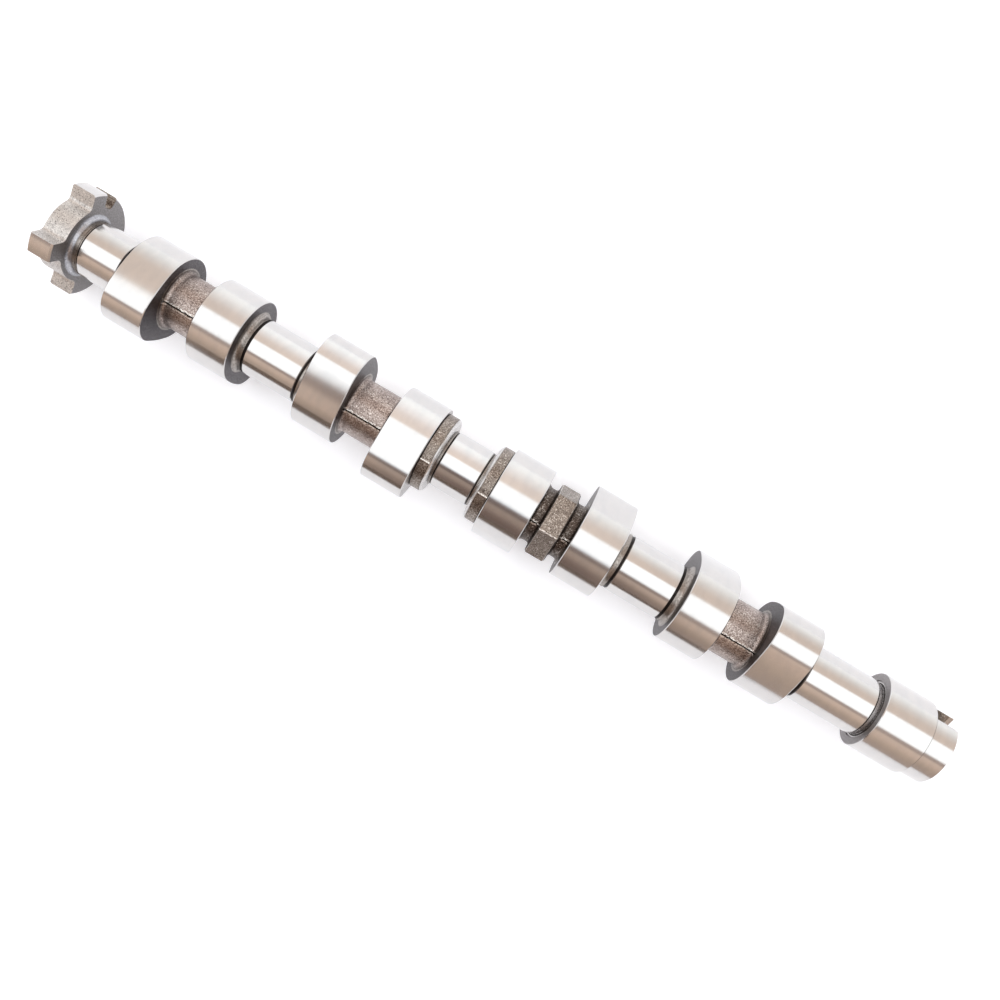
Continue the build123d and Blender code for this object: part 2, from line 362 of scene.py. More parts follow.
GROUND = ground_iron("ground_iron_journal", "C7C7C7", "CCCBCA", 0.17)
LOBE_FLANK = ground_iron("ground_iron_lobe", "C6C6C6", "CBCAC9", 0.19)
LOBE_FACE = turned_iron("turned_iron_lobe_face", "4E4B4E", "6A676A", 0.38, 0.02)
LIGHT_FACE = turned_iron("turned_iron_light_face", "A19E9E", "B8B5B5", 0.3, 0.02)
BEARING_FACE = turned_iron("turned_iron_bearing_face", "8F8C8D", "A9A6A7", 0.5, 0.02)
WHEEL_FACE = turned_iron("turned_iron_wheel_face", "827F80", "999797", 0.5, 0.02)
WHEEL_NECK = turned_iron("turned_iron_wheel_neck", "8E8F94", "B9BABF", 0.3, 0.03)
# Near-black iron as painted shade: in grooves beside the journals, on a ring of the bearing's end and on the
# chamfer at the nose's step.
GROOVE = turned_iron("turned_iron_painted_shade", "1F1C1B", "332F2D", 0.45, 0.03)
# Near-black iron as painted shadow in the open parting seams and in the ring where a collar meets its lobe.
SEAM = turned_iron("painted_shadow_in_seam", "120F0E", "1E1A18", 0.6, 0.03)
RELIEF = turned_iron("turned_iron_relief", "77716C", "A7A19C", 0.3, 0.02)
SHOULDER = turned_iron("turned_iron_shoulder", "B5B3B3", "D2D0CF", 0.27, 0.01)
# The cores' skin gets painted shade up the rounds into the lobe faces.
ROUGH = cast_iron("cast_iron_core", "7A6E69", "B0A39D", 0.35, 0.08, shaded_rounds=True)
# Darker cast skin of the collars, hexagon and key slot; on the sides of the wheel's narrow notch it is
# painted shade.
ROUGH_DARK = cast_iron("cast_iron_collar_hexagon_and_notch_shade", "675E57", "9A9189", 0.37, 0.08)
# Darkest cast skin as painted shade, on the core beside the hexagon and in the hexagon's roots.
ROUGH_SHADE = cast_iron("cast_iron_painted_shade_beside_hexagon", "3E3630", "6A605A", 0.42, 0.09)
ROUGH_WHEEL = cast_iron("cast_iron_wheel", "B0ADAB", "CECBC8", 0.5, 0.03)
FETTLED = cast_iron("fettled_iron_parting_line", "B8B2AC", "F0EDE9", 0.34, 0.06)


# ---------------------------------------------------------------- mesh building

def lying(x, along, across, angle=0.0):
    """Point in metres from a section point: along and across are turned by angle and the pose."""
    turn = radians(LYING_ANGLE + angle)
    y = along * cos(turn) - across * sin(turn)
    z = along * sin(turn) + across * cos(turn)
    return Vector((x * MM, y * MM, z * MM))


def make_piece(name, mesh, materials, sharp_angle):
    for material in materials:
        mesh.materials.append(material)
    mesh.shade_smooth()
    mesh.set_sharp_from_angle(angle=radians(sharp_angle))
    piece = bpy.data.objects.new(name, mesh)
    bpy.context.scene.collection.objects.link(piece)
    return piece


def loft_piece(name, rings, slots, materials, sharp_angle=SHARP_ANGLE):
    """Closed skin over rings of equal length. slots gives the first cap's material, then one for
    each band between rings, then the last cap's. A slot can be a list with one for each side."""
    work = bmesh.new()
    loops = [[work.verts.new(point) for point in ring] for ring in rings]
    count = len(rings[0])
    for band, (near, far) in enumerate(zip(loops, loops[1:])):
        slot = slots[band + 1]
        for i in range(count):
            j = (i + 1) % count
            face = work.faces.new((near[i], near[j], far[j], far[i]))
            face.material_index = slot[i] if isinstance(slot, list) else slot
    for loop, slot in ((loops[0][::-1], slots[0]), (loops[-1], slots[-1])):
        face = work.faces.new(loop)
        face.material_index = slot
    bmesh.ops.recalc_face_normals(work, faces=work.faces)
    mesh = bpy.data.meshes.new(name)
    work.to_mesh(mesh)
    work.free()
    return make_piece(name, mesh, materials, sharp_angle)


def turned_piece(name, stations, materials, segments=TURNED_SEGMENTS):
    """Turned length from (x, radius, slot) stations; a slot belongs to the band that starts there."""
    rings = []
    for x, radius, _ in stations:
        turns = [2 * pi * i / segments for i in range(segments)]
        rings.append([lying(x, radius * cos(turn), radius * sin(turn)) for turn in turns])
    slots = [stations[0][2]] + [slot for _, _, slot in stations[:-1]] + [stations[-1][2]]
    return loft_piece(name, rings, slots, materials)


def arc_stations(face, direction, radius, fillet):
    """Stations of a concave quarter round, from the face down to a neck of that radius."""
    stations = []
    for i in range(ROUND_STEPS + 1):
        turn = pi / 2 * i / ROUND_STEPS
        x = face + direction * fillet * (1 - cos(turn))
        r = radius + fillet * (1 - sin(turn))
        stations.append((x, r, 0))
    return stations


def cut(piece, cutter):
    """Cuts the cutter's shape out of the piece and removes the cutter."""
    modifier = piece.modifiers.new("cut", "BOOLEAN")
    modifier.operation = "DIFFERENCE"
    modifier.solver = "EXACT"
    modifier.material_mode = "TRANSFER"
    modifier.object = cutter
    graph = bpy.context.evaluated_depsgraph_get()
    result = bpy.data.meshes.new_from_object(piece.evaluated_get(graph))
    piece.modifiers.clear()
    old_mesh = piece.data
    piece.data = result
    piece.data.name = piece.name
    piece.data.set_sharp_from_angle(angle=radians(SHARP_ANGLE))
    bpy.data.meshes.remove(old_mesh)
    bpy.data.objects.remove(cutter)


# ---------------------------------------------------------------- cast surfaces

def cast_height(point):
    """Height of the sand grain and the slow waves of a cast skin, in millimetres."""
    waves = noise.noise(point * WAVES_PER_MM / MM) * WAVE_HEIGHT
    grain = noise.noise(point * GRAINS_PER_MM / MM) * GRAIN_HEIGHT
    return waves + grain


def from_parting(angle):
    """Signed distance from the nearer parting line, in millimetres of arc on a core."""
    away = (angle - PARTING_ANGLE + 90) % 180 - 90
    return radians(away) * CORE_RADIUS


def flash_ridge(angle, place):
    """Height of the ridge on the parting line, which is broken off unevenly along the shaft."""
    crest = FLASH_HEIGHT * (FLASH_REMAINS + 0.5 * noise.noise(Vector((place * FLASH_BREAKS_PER_MM, 0, 0))))
    return crest * max(0.0, 1 - abs(from_parting(angle)) / FLASH_WIDTH)


def parting_slots(angles, place, open_seam):
    """Materials round a cast length: rough skin with a fettled crest or, where the moulds did
    not quite meet, a painted shadow in the seam between broken bright crumbs."""
    wander = SEAM_WANDER * noise.noise(Vector((place * SEAM_BENDS_PER_MM, 7, 0)))
    slots = []
    for angle in angles:
        away = from_parting(angle) + wander
        crumb = noise.noise(Vector((place * CRUMBS_PER_MM, angle * CRUMBS_PER_DEGREE, 3))) >= CRUMB_LEVEL
        # Slot 2 is the painted shadow in the open seam.
        if open_seam and abs(away) < SEAM_WIDTH / 2:
            slots.append(2)
        elif open_seam and abs(away) < CRUMB_WIDTH and crumb:
            slots.append(1)
        elif not open_seam and abs(away) < FETTLED_WIDTH:
            slots.append(1)
        else:
            slots.append(0)
    return slots


def cast_piece(name, profile, radius_at, skin, open_seam=False, worn_bands=()):
    """Cast length from (x, depth) stations. radius_at gives the outline's radius at an angle,
    and depth how far the station lies above or below it. Worn bands are rubbed bright."""
    rings = []
    angles = [360 * i / CAST_SEGMENTS for i in range(CAST_SEGMENTS)]
    for x, depth in profile:
        ring = []
        for angle in angles:
            radius = radius_at(angle) + depth
            height = cast_height(lying(x, radius, 0, angle)) + flash_ridge(angle, x)
            ring.append(lying(x, radius + height, 0, angle))
        rings.append(ring)
    slots = [0] + [parting_slots(angles, x, open_seam) for x, _ in profile[1:]] + [0]
    for band in worn_bands:
        slots[band + 1] = 1
    return loft_piece(name, rings, slots, [skin, FETTLED, SEAM], CAST_SHARP_ANGLE)


def even_steps(start, end, step):
    count = max(2, round(abs(end - start) / step))
    return [start + (end - start) * i / count for i in range(count + 1)]


def core(cylinder):
    """Rough cast length between a cylinder's two lobes. It is rounded into both of them, and the
    outer part of each round is turned together with the lobe's face."""
    start = lobe_end(cylinder, -1)
    end = lobe_start(cylinder, 1)
    rounds = [(x, r - CORE_RADIUS) for x, r, _ in arc_stations(0, 1, CORE_RADIUS, CORE_FILLET)]
    rough = rounds[TURNED_STEPS:]
    first = [(start + x, depth) for x, depth in rough]
    last = [(end - x, depth) for x, depth in reversed(rough)]
    middle = [(x, 0.0) for x in even_steps(start + CORE_FILLET, end - CORE_FILLET, GRAIN_STEP)[1:-1]]
    # The core beside the hexagon takes the darkest skin as painted shade.
    skin = ROUGH_SHADE if cylinder == HEXAGON_CYLINDER else ROUGH
    pieces = [cast_piece(f"core_{cylinder}", first + middle + last, lambda angle: CORE_RADIUS, skin, True)]
    for face, direction in ((start, 1), (end, -1)):
        ring = [(face + direction * x, CORE_RADIUS + depth, 0) for x, depth in rounds[:TURNED_STEPS + 1]]
        pieces.append(turned_piece(f"core_round_{cylinder}_{len(pieces)}", ring, [RELIEF]))
    return pieces


def hexagon_radius(angle):
    """Radius of the hexagon's rounded outline at an angle."""
    corner = (angle - PARTING_ANGLE + 30) % 60 - 30
    corner = radians(abs(corner))
    flat = HEXAGON_FLATS / 2
    centre = (flat - HEXAGON_CORNER_RADIUS) / cos(radians(30))
    tangent = atan2(HEXAGON_CORNER_RADIUS * 0.5, centre + HEXAGON_CORNER_RADIUS * cos(radians(30)))
    if corner > tangent:
        return flat / cos(radians(30) - corner)
    return centre * cos(corner) + sqrt(HEXAGON_CORNER_RADIUS ** 2 - (centre * sin(corner)) ** 2)


def hexagon(cylinder):
    """Spanner hexagon: rough flats, bevelled edges, steep sides and a round into the core."""
    centre = cylinder_centre(cylinder)
    half = HEXAGON_WIDTH / 2
    foot = half + HEXAGON_BEVEL_WIDTH
    crown = CORE_RADIUS + HEXAGON_ROOT_FILLET
    bevel = []
    for i in range(BEVEL_STEPS + 1):
        share = i / BEVEL_STEPS
        bevel.append((foot - HEXAGON_BEVEL_WIDTH * share, -HEXAGON_BEVEL_DROP * (1 - share)))
    side = [(centre - x, depth) for x, depth in bevel]
    flat = [(x, 0.0) for x in even_steps(centre - half, centre + half, GRAIN_STEP)[1:-1]]
    other_side = [(centre + x, depth) for x, depth in reversed(bevel)]
    profile = side + flat + other_side
    worn = (len(side) - 2, len(profile) - len(other_side))
    pieces = [cast_piece("hexagon", profile, hexagon_radius, ROUGH_DARK, worn_bands=worn)]
    # The roots take the darkest skin as painted shade.
    for direction, name in ((-1, "hexagon_root_1"), (1, "hexagon_root_2")):
        face = centre + direction * foot
        rounds = arc_stations(face, direction, CORE_RADIUS, HEXAGON_ROOT_FILLET)
        profile = [(x, radius - crown) for x, radius, _ in rounds]
        pieces.append(cast_piece(name, profile, lambda angle: crown, ROUGH_SHADE))
    return pieces


def collar(face, direction, number):
    """Collar on a lobe's face: a thin ring of painted shadow, a rough cast rim, then a turned
    shoulder and a groove with painted shade on its half beside the journal."""
    def along(distance):
        return face + direction * distance

    rim = [(along(x), 0.0) for x in even_steps(COLLAR_SEAM_WIDTH, COLLAR_ROUGH_WIDTH, GRAIN_STEP)]
    seam_radius = COLLAR_RADIUS - COLLAR_SEAM_DEPTH
    seam = [(along(0), seam_radius, 0), (along(COLLAR_SEAM_WIDTH), seam_radius, 0)]
    foot = COLLAR_WIDTH + COLLAR_BEVEL_WIDTH
    groove_end = foot + COLLAR_GROOVE_WIDTH
    lean = atan2(COLLAR_BEVEL_WIDTH, COLLAR_BEVEL_DROP)
    sweep = pi / 2 - lean
    round_start = COLLAR_WIDTH - COLLAR_ROUND * tan(sweep / 2)
    shoulder = []
    for i in range(COLLAR_ROUND_STEPS + 1):
        turn = sweep * i / COLLAR_ROUND_STEPS
        x = round_start + COLLAR_ROUND * sin(turn)
        if x > COLLAR_ROUGH_WIDTH:
            shoulder.append((along(x), COLLAR_RADIUS - COLLAR_ROUND * (1 - cos(turn)), 0))
    shoulder += [
        (along(foot), COLLAR_RADIUS - COLLAR_BEVEL_DROP, 1),
        (along(foot), GROOVE_RADIUS, 1),
        (along(groove_end - COLLAR_GROOVE_WIDTH / 2), GROOVE_RADIUS, 2),
        (along(groove_end), GROOVE_RADIUS, 2),
    ]
    return [
        turned_piece(f"collar_seam_{number}", seam, [SEAM]),
        cast_piece(f"collar_rim_{number}", rim, lambda angle: COLLAR_RADIUS, ROUGH_DARK),
        turned_piece(f"collar_shoulder_{number}", shoulder, [SHOULDER, RELIEF, GROOVE]),
    ]


# ---------------------------------------------------------------- lobes

def lobe_arcs():
    """Centres of the lobe's nose and flank arcs, and the normal angles at which they meet."""
    nose_centre = BASE_RADIUS + LOBE_LIFT - LOBE_NOSE_RADIUS
    flank_reach = LOBE_FLANK_RADIUS - BASE_RADIUS
    nose_reach = LOBE_FLANK_RADIUS - LOBE_NOSE_RADIUS
    turn = acos((flank_reach ** 2 + nose_centre ** 2 - nose_reach ** 2) / (2 * flank_reach * nose_centre))
    flank = (flank_reach * cos(turn), -flank_reach * sin(turn))
    base_angle = degrees(atan2(-flank[1], -flank[0]))
    nose_angle = degrees(atan2(-flank[1], nose_centre - flank[0]))
    return nose_centre, flank, nose_angle, base_angle


def lobe_point(normal_angle, inset):
    """Point of the lobe's outline whose normal has this angle from the tip."""
    nose_centre, flank, nose_angle, base_angle = lobe_arcs()
    away = abs(normal_angle)
    side = 1 if normal_angle >= 0 else -1
    if away <= nose_angle:
        centre, radius = (nose_centre, 0), LOBE_NOSE_RADIUS
    elif away <= base_angle:
        centre, radius = (flank[0], side * flank[1]), LOBE_FLANK_RADIUS
    else:
        centre, radius = (0, 0), BASE_RADIUS
    direction = radians(normal_angle)
    return centre[0] + (radius - inset) * cos(direction), centre[1] + (radius - inset) * sin(direction)


def lobe(cylinder, side):
    """Cam lobe with chamfered edges. Its faces are dark, apart from the one that has a collar."""
    start = lobe_start(cylinder, side)
    end = lobe_end(cylinder, side)
    turn = lobe_angle(cylinder, side)
    stations = [
        (start, LOBE_FACE_INSET),
        (start, LOBE_CHAMFER),
        (start + LOBE_CHAMFER, 0),
        (end - LOBE_CHAMFER, 0),
        (end, LOBE_CHAMFER),
        (end, LOBE_FACE_INSET),
    ]
    normals = [i - 179.5 for i in range(360)]
    rings = [[lying(x, *lobe_point(normal, inset), turn) for normal in normals] for x, inset in stations]
    near_face = 2 if (cylinder, side) == (MIDDLE_CYLINDER + 1, -1) else 1
    far_face = 2 if (cylinder, side) == (MIDDLE_CYLINDER, 1) else 1
    slots = [near_face, near_face, 0, 0, 0, far_face, far_face]
    name = f"lobe_{2 * cylinder - (1 if side < 0 else 0)}"
    return loft_piece(name, rings, slots, [LOBE_FLANK, LOBE_FACE, LIGHT_FACE])


# ---------------------------------------------------------------- trigger wheel

def wall(angle, offset, side, floor_radius, fillet):
    """Points of a tooth's wall, from the rim down to its rounded root, in section coordinates."""
    along = sqrt((floor_radius + fillet) ** 2 - (offset + fillet) ** 2)
    centre = (along, side * (offset + fillet))
    root_angle = atan2(centre[1], centre[0])
    wall_direction = -side * pi / 2
    floor_direction = root_angle + pi
    sweep = (floor_direction - wall_direction + pi) % (2 * pi) - pi
    points = [(sqrt(WHEEL_RADIUS ** 2 - offset ** 2), side * offset)]
    for i in range(WALL_ROOT_STEPS + 1):
        direction = wall_direction + sweep * i / WALL_ROOT_STEPS
        points.append((centre[0] + fillet * cos(direction), centre[1] + fillet * sin(direction)))
    turn = radians(angle)
    turned = [(x * cos(turn) - y * sin(turn), x * sin(turn) + y * cos(turn)) for x, y in points]
    return turned, degrees(root_angle) + angle


def arc_points(radius, start, end):
    """Points of an arc about the axis, without its ends."""
    angles = even_steps(start, end, RIM_STEP_ANGLE)[1:-1]
    return [(radius * cos(radians(a)), radius * sin(radians(a))) for a in angles]


def gap_points(first, second, floor_radius, fillet):
    """Outline of a gap, counter-clockwise from the first tooth's wall to the second one's."""
    down, floor_start = wall(*first, 1, floor_radius, fillet)
    up, floor_end = wall(*second, -1, floor_radius, fillet)
    return down + arc_points(floor_radius, floor_start, floor_end) + up[::-1]


def wheel_outline():
    """Outline points of the trigger wheel, once round."""
    half = TOOTH_WIDTH / 2
    sector_end = SECTOR_START_ANGLE + SECTOR_SWEEP
    second_tooth = SECOND_TOOTH_ANGLE + 360
    reach = degrees(atan2(half, sqrt(WHEEL_RADIUS ** 2 - half ** 2)))
    gaps = [
        gap_points((0, half), (SECTOR_START_ANGLE, 0), NOTCH_RADIUS, NOTCH_FILLET),
        gap_points((sector_end, 0), (second_tooth, half), WHEEL_HUB_RADIUS, TOOTH_ROOT_FILLET),
        gap_points((second_tooth, half), (360, half), WHEEL_HUB_RADIUS, TOOTH_ROOT_FILLET),
    ]
    rims = [
        arc_points(WHEEL_RADIUS, SECTOR_START_ANGLE, sector_end),
        arc_points(WHEEL_RADIUS, second_tooth - reach, second_tooth + reach),
        arc_points(WHEEL_RADIUS, -reach, reach),
    ]
    return [point for gap, rim in zip(gaps, rims) for point in gap + rim]


def wheel_sides(outline):
    """Material slot of each side: 0 on the turned rim, 3 for painted shade in the narrow notch, 1 in the wide
    gaps.
    """
    slots = []
    for near, far in zip(outline, outline[1:] + outline[:1]):
        angle = degrees(atan2(near[1] + far[1], near[0] + far[0]))
        if min(hypot(*near), hypot(*far)) > WHEEL_RADIUS - 0.01:
            slots.append(0)
        elif 0 < angle < SECTOR_START_ANGLE:
            slots.append(3)
        else:
            slots.append(1)
    return slots


def trigger_wheel():
    """Trigger wheel with turned rims, a grinding centre in its outer face and a neck on its inner."""
    outline = wheel_outline()
    radii = [hypot(*point) for point in outline]
    rings = []
    rim_edge = WHEEL_RADIUS - WHEEL_RIM_CHAMFER
    stations = [
        (WHEEL_START, rim_edge),
        (WHEEL_START + WHEEL_RIM_CHAMFER, WHEEL_RADIUS),
        (WHEEL_END - WHEEL_RIM_CHAMFER, WHEEL_RADIUS),
        (WHEEL_END, rim_edge),
    ]
    for x, limit in stations:
        ring = []
        for point, radius in zip(outline, radii):
            scale = min(1.0, limit / radius)
            ring.append(lying(x, point[0] * scale, point[1] * scale))
        rings.append(ring)
    sides = wheel_sides(outline)
    # ROUGH_DARK on the narrow notch's sides is painted shade.
    materials = [GROUND, ROUGH_WHEEL, WHEEL_FACE, ROUGH_DARK]
    wheel = loft_piece("trigger_wheel", rings, [2, sides, sides, sides, 2], materials)
    cut(wheel, grinding_centre())
    return [wheel, wheel_neck()]


def grinding_centre():
    """Cutter for the conical centre hole and its pilot."""
    slope = tan(radians(CENTRE_CONE_ANGLE / 2))
    cone_end = WHEEL_END - (CENTRE_HOLE_RADIUS - CENTRE_PILOT_RADIUS) / slope
    return turned_piece("centre_hole", [
        (cone_end - CENTRE_PILOT_DEPTH, CENTRE_PILOT_RADIUS, 0),
        (cone_end, CENTRE_PILOT_RADIUS, 0),
        (WHEEL_END + CUT_CLEARANCE, CENTRE_HOLE_RADIUS + CUT_CLEARANCE * slope, 0),
    ], [GROUND], HOLE_SEGMENTS)


def wheel_neck():
    """Neck between the wheel and the last journal, with a groove whose half beside the journal is painted
    shade.
    """
    groove = REAR_JOURNAL_END + GROOVE_WIDTH
    neck = arc_stations(WHEEL_START, -1, RELIEF_RADIUS, ROOT_FILLET)[:-1]
    neck += [
        (WHEEL_START - ROOT_FILLET, RELIEF_RADIUS, 1),
        (groove, RELIEF_RADIUS, 1),
        (groove, GROOVE_RADIUS, 1),
        (REAR_JOURNAL_END + GROOVE_WIDTH / 2, GROOVE_RADIUS, 2),
        (REAR_JOURNAL_END, GROOVE_RADIUS, 2),
    ]
    return turned_piece("wheel_neck", neck, [WHEEL_NECK, RELIEF, GROOVE])


# ---------------------------------------------------------------- turned lengths

def journal(name, start, end):
    stations = [
        (start, JOURNAL_RADIUS - JOURNAL_CHAMFER, 0),
        (start + JOURNAL_CHAMFER, JOURNAL_RADIUS, 0),
        (end - JOURNAL_CHAMFER, JOURNAL_RADIUS, 0),
        (end, JOURNAL_RADIUS - JOURNAL_CHAMFER, 0),
    ]
    return turned_piece(name, stations, [GROUND])


def relief(name, face, direction):
    """Rounded neck and a groove of painted shade between a lobe's face and the journal beside it."""
    journal_face = face + direction * RELIEF_WIDTH
    groove = journal_face - direction * GROOVE_WIDTH
    stations = arc_stations(face, direction, RELIEF_RADIUS, ROOT_FILLET)
    stations += [(groove, RELIEF_RADIUS, 1), (groove, GROOVE_RADIUS, 1), (journal_face, GROOVE_RADIUS, 1)]
    return turned_piece(name, stations, [RELIEF, GROOVE])


def journals():
    pieces = [
        journal("journal_1", FRONT_JOURNAL_START, FRONT_JOURNAL_END),
        relief("relief_1", lobe_start(1, -1), -1),
        journal("journal_5", REAR_JOURNAL_START, REAR_JOURNAL_END),
        relief("relief_8", lobe_end(CYLINDER_COUNT, 1), 1),
    ]
    for cylinder in range(1, CYLINDER_COUNT):
        before = lobe_end(cylinder, 1)
        after = lobe_start(cylinder + 1, -1)
        if cylinder == MIDDLE_CYLINDER:
            shoulder = COLLAR_WIDTH + COLLAR_BEVEL_WIDTH + COLLAR_GROOVE_WIDTH
            pieces += collar(before, 1, 1) + collar(after, -1, 2)
        else:
            shoulder = RELIEF_WIDTH
            pieces.append(relief(f"relief_{2 * cylinder}", before, 1))
            pieces.append(relief(f"relief_{2 * cylinder + 1}", after, -1))
        pieces.append(journal(f"journal_{cylinder + 1}", before + shoulder, after - shoulder))
    return pieces


def nose():
    """Sprocket seat and end bearing, with the key slot and the bolt hole cut out. The bearing's end
    steps down in turned rings into a bright groove. Painted shade darkens the groove's half beside the
    journal, one of the rings, and the chamfer at the step from the seat to the bearing."""
    undercut = END_BEARING_END - END_UNDERCUT_DEPTH
    ring_step = (END_UNDERCUT_RADIUS - END_GROOVE_RADIUS) / 3
    body = turned_piece("nose", [
        (0, NOSE_RADIUS - NOSE_CHAMFER, 0),
        (NOSE_CHAMFER, NOSE_RADIUS, 0),
        (NOSE_LENGTH, NOSE_RADIUS, 0),
        (NOSE_LENGTH, END_BEARING_RADIUS - END_BEARING_CHAMFER, 2),
        (NOSE_LENGTH + END_BEARING_CHAMFER, END_BEARING_RADIUS, 0),
        (END_BEARING_END - END_BEARING_CHAMFER, END_BEARING_RADIUS, 0),
        (END_BEARING_END, END_BEARING_RADIUS - END_BEARING_CHAMFER, 1),
        (END_BEARING_END, END_UNDERCUT_RADIUS, 1),
        (undercut, END_UNDERCUT_RADIUS, 1),
        (undercut, END_UNDERCUT_RADIUS - ring_step, 3),
        (undercut, END_UNDERCUT_RADIUS - 2 * ring_step, 2),
        (undercut, END_GROOVE_RADIUS, 3),
        (FRONT_JOURNAL_START - GROOVE_WIDTH / 2, END_GROOVE_RADIUS, 2),
        (FRONT_JOURNAL_START, END_GROOVE_RADIUS, 2),
    ], [GROUND, BEARING_FACE, GROOVE, SHOULDER])
    cut(body, key_slot())
    mouth_depth = BOLT_HOLE_MOUTH_RADIUS - BOLT_HOLE_RADIUS
    cut(body, turned_piece("bolt_hole", [
        (-CUT_CLEARANCE, BOLT_HOLE_MOUTH_RADIUS + CUT_CLEARANCE, 0),
        (mouth_depth, BOLT_HOLE_RADIUS, 0),
        (BOLT_HOLE_DEPTH, BOLT_HOLE_RADIUS, 0),
        (BOLT_HOLE_DEPTH + DRILL_POINT_DEPTH, DRILL_TIP_RADIUS, 0),
    ], [LOBE_FACE], HOLE_SEGMENTS))
    return body


def key_slot():
    """Cutter for the key slot: rough walls, and a turned flare at the end face."""
    floor = NOSE_RADIUS - KEY_SLOT_DEPTH
    top = NOSE_RADIUS + SLOT_CUT_TOP
    half = KEY_SLOT_WIDTH / 2
    wide = half + KEY_SLOT_FLARE * (KEY_SLOT_LEAD + SLOT_CUT_LEAD) / KEY_SLOT_LEAD
    rings = []
    for x, reach in ((-SLOT_CUT_LEAD, wide), (KEY_SLOT_LEAD, half), (NOSE_LENGTH, half)):
        corners = [(floor, -reach), (floor, reach), (top, reach), (top, -reach)]
        rings.append([lying(x, *corner) for corner in corners])
    return loft_piece("key_slot", rings, [0, 0, 1, 1], [SHOULDER, ROUGH_DARK])


def build_shaft():
    pieces = [nose(), *journals(), *trigger_wheel()]
    for cylinder in range(1, CYLINDER_COUNT + 1):
        pieces += [*core(cylinder), lobe(cylinder, -1), lobe(cylinder, 1)]
    return pieces + hexagon(HEXAGON_CYLINDER)


# ---------------------------------------------------------------- stage

# Glow of the tent's cloth across the shaft, from the -Y side over the top to the +Y side:
# degrees from the top, then the colour above the shaft's middle and the colour beyond its ends.
TENT_BANDS = [
    (-90, "F1F1F1", "EBEAE9"),
    (-76, "F6F6F5", "E0DEDC"),
    (-60, "EBE6E4", "CEC6C0"),
    (-44, "DDD0C9", "C5B6AB"),
    (-24.5, "DCCBBF", "C5B4A8"),
    (-22.5, "FFFFFF", "FFFFFF"),
    (15, "FFFFFF", "FFFFFF"),
    (19, "E6E9EE", "FFFFFF"),
    (23, "61524D", "FFFFFF"),
    (26, "61524D", "94837A"),
    (33, "61524D", "94837A"),
    (38, "8C7C72", "BFAB9C"),
    (50, "85746A", "B8A293"),
    (60, "6D5D56", "A89586"),
    (70, "63524B", "9E8C7F"),
    (90, "61544F", "97877E"),
]
TENT_GLOW = 1.8
TENT_RADIUS = 900.0
TENT_HALF_LENGTH = 1600.0
TENT_STEPS = 60
TENT_MIDDLE = (300.0, 58.0)
TENT_TURN = 7.5
TENT_FADE = (50.0, 420.0)

# Flag: where it starts and ends along X, its distance in Y, and the height of its top at each end
FLAG_SPAN = (0.0, 500.0)
FLAG_DISTANCE = 335.0
FLAG_TOPS = (35.0, 100.0)
FLAG_COLOUR = "77695F"

FLOOR_HALF_WIDTH = 3000.0
PAPER_COLOUR = "F2F5FA"
PAPER_LIFT = 0.3

CAMERA_PLACE = (203.18, 3.31, 379.73)
CAMERA_TURN = (0.621, 1.041, -149.179)
CAMERA_LENS = 31.93
CAMERA_SENSOR = 36.0


def stage_piece(name, mesh, material):
    piece = bpy.data.objects.new(name, mesh)
    mesh.materials.append(material)
    bpy.context.scene.collection.objects.link(piece)
    return piece


def tent_cloth():
    """Cloth that glows in soft bands along the shaft, darkest low on the +Y side."""
    material, tree = new_material("tent_cloth")
    place = add_node(tree, "TexCoord", "Object", {})
    split = {axis: add_node(tree, "SeparateXYZ", axis, {"Vector": place}) for axis in "XYZ"}
    turn = add_node(tree, "Math", 0, {0: split["Y"], 1: split["Z"]}, operation="ARCTAN2")
    share = add_node(tree, "MapRange", "Result", {"Value": turn, "From Min": -pi / 2, "From Max": pi / 2})
    middle_stops = [((angle + 90) / 180, code) for angle, code, _ in TENT_BANDS]
    end_stops = [((angle + 90) / 180, code) for angle, _, code in TENT_BANDS]
    middle = add_node(tree, "ValToRGB", "Color", {"Fac": share}, middle_stops)
    ends = add_node(tree, "ValToRGB", "Color", {"Fac": share}, end_stops)
    away = add_node(tree, "Math", 0, {0: split["X"]}, operation="ABSOLUTE")
    fade = add_node(tree, "MapRange", "Result", {
        "Value": away, "From Min": TENT_FADE[0] * MM, "From Max": TENT_FADE[1] * MM,
    }, interpolation_type="SMOOTHSTEP")
    glow = add_node(tree, "Mix", 2, {"Factor": fade, 6: middle, 7: ends}, data_type="RGBA")
    light = add_node(tree, "Emission", "Emission", {"Color": glow, "Strength": TENT_GLOW})
    add_node(tree, "OutputMaterial", None, {"Surface": light})
    return material


def tent():
    """Half-round light tent that stands over the shaft, a little askew."""
    radius = TENT_RADIUS * MM
    reach = TENT_HALF_LENGTH * MM
    work = bmesh.new()
    rows = []
    for i in range(TENT_STEPS + 1):
        turn = pi * i / TENT_STEPS - pi / 2
        rows.append([work.verts.new((x, radius * sin(turn), radius * cos(turn))) for x in (-reach, reach)])
    for near, far in zip(rows, rows[1:]):
        work.faces.new((near[0], near[1], far[1], far[0]))
    mesh = bpy.data.meshes.new("light_tent")
    work.to_mesh(mesh)
    work.free()
    piece = stage_piece("light_tent", mesh, tent_cloth())
    piece.location = (TENT_MIDDLE[0] * MM, TENT_MIDDLE[1] * MM, 0)
    piece.rotation_euler.z = radians(TENT_TURN)
    piece.visible_camera = False


def flag_card():
    """Matt brown-grey card."""
    material, tree = new_material("flag_card")
    finish_material(tree, {"Base Color": colour(FLAG_COLOUR), "Roughness": 0.9, "Specular IOR Level": 0.0})
    return material


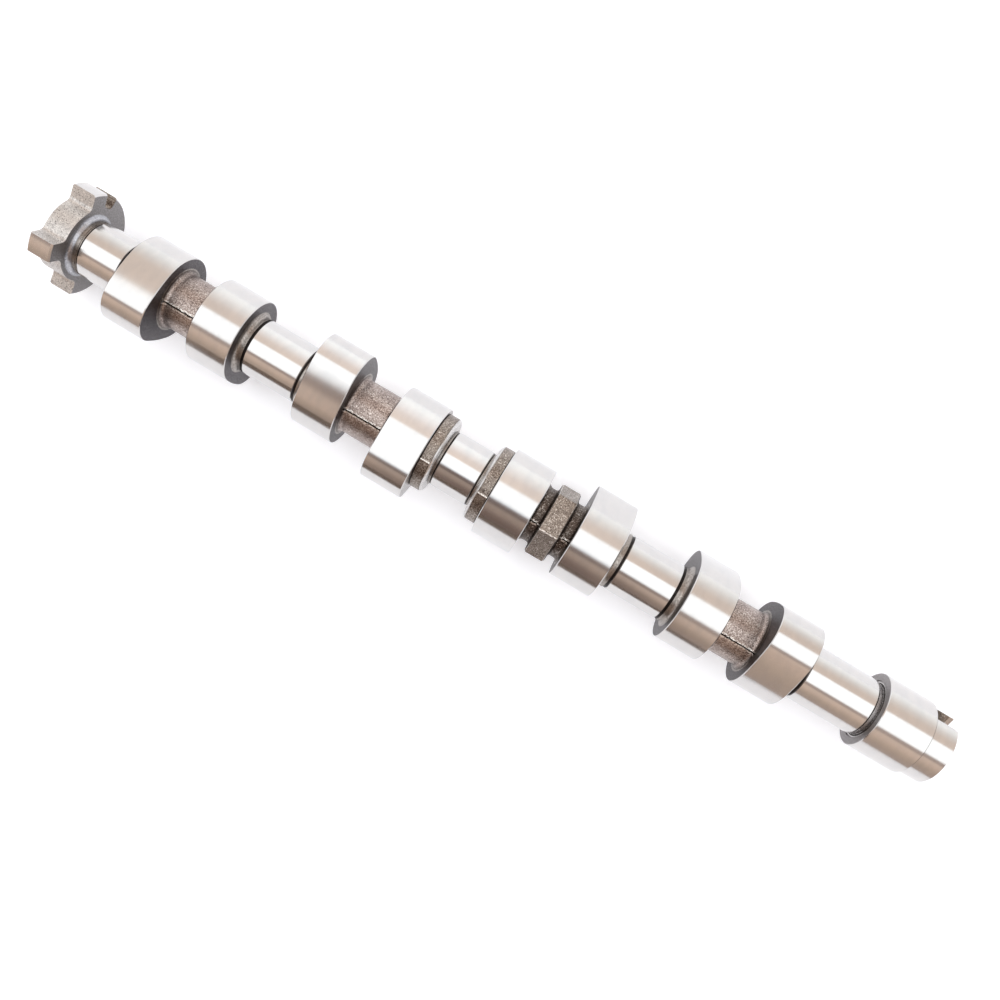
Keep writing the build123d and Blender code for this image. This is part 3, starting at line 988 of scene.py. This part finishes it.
def flag(floor_height):
    """Dark card that only darkens the horizon mirrored in the shaft: it shades nothing. Its top
    slopes up towards the trigger wheel."""
    y = FLAG_DISTANCE * MM
    start, end = (x * MM for x in FLAG_SPAN)
    near_top, far_top = (z * MM for z in FLAG_TOPS)
    mesh = bpy.data.meshes.new("flag")
    corners = [(start, y, floor_height), (end, y, floor_height), (end, y, far_top), (start, y, near_top)]
    mesh.from_pydata(corners, [], [(0, 1, 2, 3)])
    piece = stage_piece("flag", mesh, flag_card())
    piece.visible_camera = False
    piece.visible_diffuse = False
    piece.visible_shadow = False


def white_paper():
    """Matt white paper that shows as white where nothing shades it."""
    material, tree = new_material("white_paper")
    rays = [add_node(tree, "LightPath", f"Is {ray} Ray", {}) for ray in ("Camera", "Glossy", "Transmission")]
    mirrored = add_node(tree, "Math", 0, {0: rays[1], 1: rays[2]}, operation="MAXIMUM")
    seen = add_node(tree, "Math", 0, {0: rays[0], 1: mirrored}, operation="MAXIMUM")
    lift = add_node(tree, "Math", 0, {0: seen, 1: PAPER_LIFT}, operation="MULTIPLY")
    finish_material(tree, {
        "Base Color": colour(PAPER_COLOUR),
        "Roughness": 0.9,
        "Specular IOR Level": 0.0,
        "Emission Color": colour(PAPER_COLOUR),
        "Emission Strength": lift,
    })
    return material


def stage(floor_height, middle):
    """White paper floor under a light tent, in a white room."""
    reach = FLOOR_HALF_WIDTH * MM
    mesh = bpy.data.meshes.new("floor")
    corners = [(-reach, -reach), (reach, -reach), (reach, reach), (-reach, reach)]
    mesh.from_pydata([(middle + x, y, floor_height) for x, y in corners], [], [(0, 1, 2, 3)])
    stage_piece("floor", mesh, white_paper())
    tent()
    flag(floor_height)
    world = bpy.data.worlds.new("studio")
    bpy.context.scene.world = world
    world.use_nodes = True
    background = world.node_tree.nodes["Background"]
    background.inputs["Color"].default_value = (1, 1, 1, 1)
    background.inputs["Strength"].default_value = 1.0


def add_camera():
    """Looks almost straight down on the shaft, which crosses the picture at a slant."""
    data = bpy.data.cameras.new("camera")
    data.sensor_width = CAMERA_SENSOR
    data.lens = CAMERA_LENS
    camera = bpy.data.objects.new("camera", data)
    camera.location = [place * MM for place in CAMERA_PLACE]
    camera.rotation_euler = [radians(angle) for angle in CAMERA_TURN]
    bpy.context.scene.collection.objects.link(camera)
    bpy.context.scene.camera = camera


# ---------------------------------------------------------------- the whole scene

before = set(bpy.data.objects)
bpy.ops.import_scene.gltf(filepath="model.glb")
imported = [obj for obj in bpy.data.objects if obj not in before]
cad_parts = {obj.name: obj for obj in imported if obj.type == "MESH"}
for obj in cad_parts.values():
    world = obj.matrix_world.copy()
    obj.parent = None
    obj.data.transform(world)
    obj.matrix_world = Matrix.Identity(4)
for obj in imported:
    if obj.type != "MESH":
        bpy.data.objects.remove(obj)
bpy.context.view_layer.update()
low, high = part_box("camshaft")
for piece in build_shaft():
    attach(piece, "root")
    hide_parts("camshaft")
stage(low.z, (low.x + high.x) / 2)
add_camera()
bpy.context.scene.view_settings.view_transform = "Standard"
